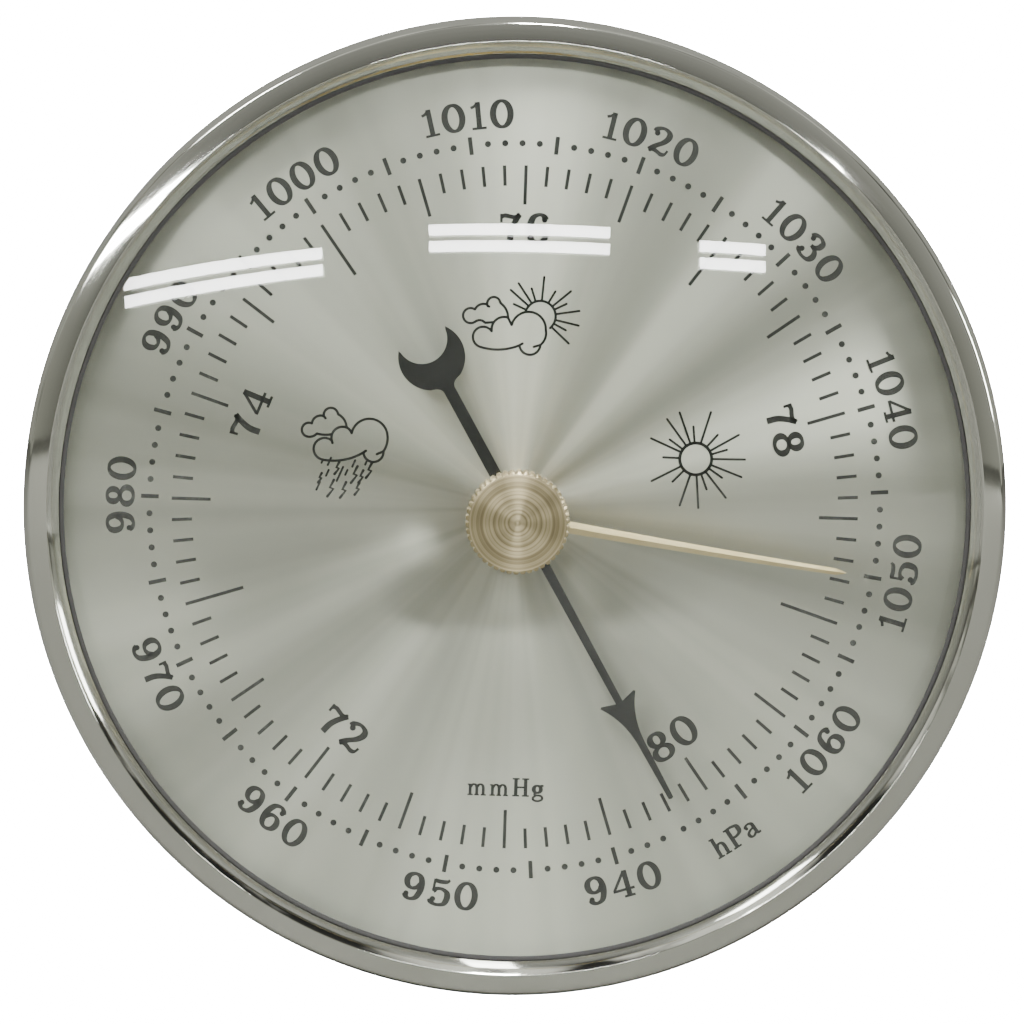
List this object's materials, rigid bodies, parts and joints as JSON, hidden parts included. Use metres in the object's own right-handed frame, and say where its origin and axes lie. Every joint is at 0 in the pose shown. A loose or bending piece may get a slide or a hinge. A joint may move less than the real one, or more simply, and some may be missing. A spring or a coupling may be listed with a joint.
{
  "type": "aneroid barometer",
  "caption": "Round panel aneroid barometer with a domed glass, silvered dial, black pressure hand, brass set hand and knob, and a drawn cup behind that holds the capsule movement.",
  "frame": {"origin": "on the hands' axis, in the plane of the bezel's rolled rear lip, where it meets a panel", "axes": "+Z is twelve o'clock on the dial, +Y runs along the hands' axis into the case, so the dial faces -Y, and +X is to the right seen from the front"},
  "size_m": [0.1, 0.044, 0.1],
  "materials": {
    "chrome_bezel": "spun and plated",
    "case_steel": "drawn and passivated",
    "glass": "polished dome",
    "gasket_rubber": "moulded",
    "silvered_dial": "spun and silvered",
    "black_hand": "painted black",
    "turned_brass": "turned",
    "gilt_brass": "polished",
    "movement_brass": "satin",
    "blued_steel": "blued",
    "pivot_steel": "ground",
    "screw_steel": "turned",
    "capsule_metal": "pressed nickel silver",
    "fibre": "cut sheet"
  },
  "bodies": {
    "case": {"bezel_ring": "chrome_bezel", "rear_case": "case_steel", "front_glass": "glass", "glass_gasket": "gasket_rubber", "glass_seat_ring": "case_steel", "dial_plate": "silvered_dial", "dial_feet": "movement_brass", "glass_bush": "turned_brass", "bush_nut": "turned_brass", "plate_bush": "movement_brass", "cock_bush": "movement_brass", "hairspring": "blued_steel", "hairspring_stud": "movement_brass", "movement_plate": "movement_brass", "plate_pillars": "movement_brass", "plate_screws": "screw_steel", "base_plate": "movement_brass", "case_spacers": "movement_brass", "case_screws": "screw_steel", "arbor_cock": "movement_brass", "cock_pillars": "movement_brass", "cock_screws": "screw_steel", "capsule_front": "capsule_metal", "capsule_rear": "capsule_metal", "capsule_seat": "movement_brass", "adjusting_bush": "movement_brass", "lever_post": "movement_brass", "lever_pivot": "pivot_steel", "rockshaft_posts": "movement_brass", "post_screws": "screw_steel"},
    "hand_train": {"hand_arbor": "pivot_steel", "indicating_hand": "black_hand", "hand_collet": "movement_brass", "chain_drum": "movement_brass", "hairspring_collet": "movement_brass"},
    "set_assembly": {"set_spindle": "turned_brass", "set_knob": "turned_brass", "set_hand_collet": "gilt_brass", "set_hand": "gilt_brass", "friction_washer": "fibre"},
    "rocker": {"rockshaft": "pivot_steel", "rockshaft_arm": "movement_brass", "rockshaft_crank": "movement_brass", "chain_pin": "pivot_steel"},
    "lever": {"main_lever": "movement_brass", "lever_end_pin": "pivot_steel"},
    "stem": {"capsule_stem": "movement_brass"},
    "chain": {"fusee_chain": "pivot_steel"},
    "height_screw": {"adjusting_screw": "screw_steel"}
  },
  "joints": [
    {"name": "hand_turn", "type": "hinge", "parent": "case", "child": "hand_train", "pos_m": [0, 0, 0], "axis": [0, 1, 0], "range_deg": [-7, 359], "stiffness_Nm_per_rad": 0.000001, "deforming": ["hairspring"]},
    {"name": "set_turn", "type": "hinge", "parent": "case", "child": "set_assembly", "pos_m": [0, 0, 0], "axis": [0, 1, 0], "continuous": true},
    {"name": "rockshaft_turn", "type": "hinge", "parent": "case", "child": "rocker", "pos_m": [0.022, 0.0149, 0], "axis": [0, 0, 1], "range_deg": [-0.72, 37.67]},
    {"name": "lever_swing", "type": "hinge", "parent": "case", "child": "lever", "pos_m": [-0.024, 0.0099, 0], "axis": [0, 0, 1], "range_deg": [-0.03, 2.25]},
    {"name": "capsule_travel", "type": "slide", "parent": "case", "child": "stem", "axis": [0, 1, 0], "range_m": [-0.00003, 0.00099], "deforming": ["capsule_front"]},
    {"name": "chain_pull", "type": "slide", "parent": "case", "child": "chain", "axis": [1, 0, 0], "range_m": [-0.00011, 0.00644], "deforming": ["fusee_chain"]},
    {"name": "height_screw_turn", "type": "hinge", "parent": "case", "child": "height_screw", "pos_m": [0, 0.0234, 0], "axis": [0, 1, 0], "range_deg": [-360, 360]}
  ],
  "couplings": [
    {"joint": "capsule_travel", "follows": "lever_swing", "m_per_rad": 0.024},
    {"joint": "rockshaft_turn", "follows": "lever_swing", "ratio": 16.578},
    {"joint": "chain_pull", "follows": "lever_swing", "m_per_rad": 0.16279},
    {"joint": "hand_turn", "follows": "lever_swing", "ratio": 157.89}
  ]
}
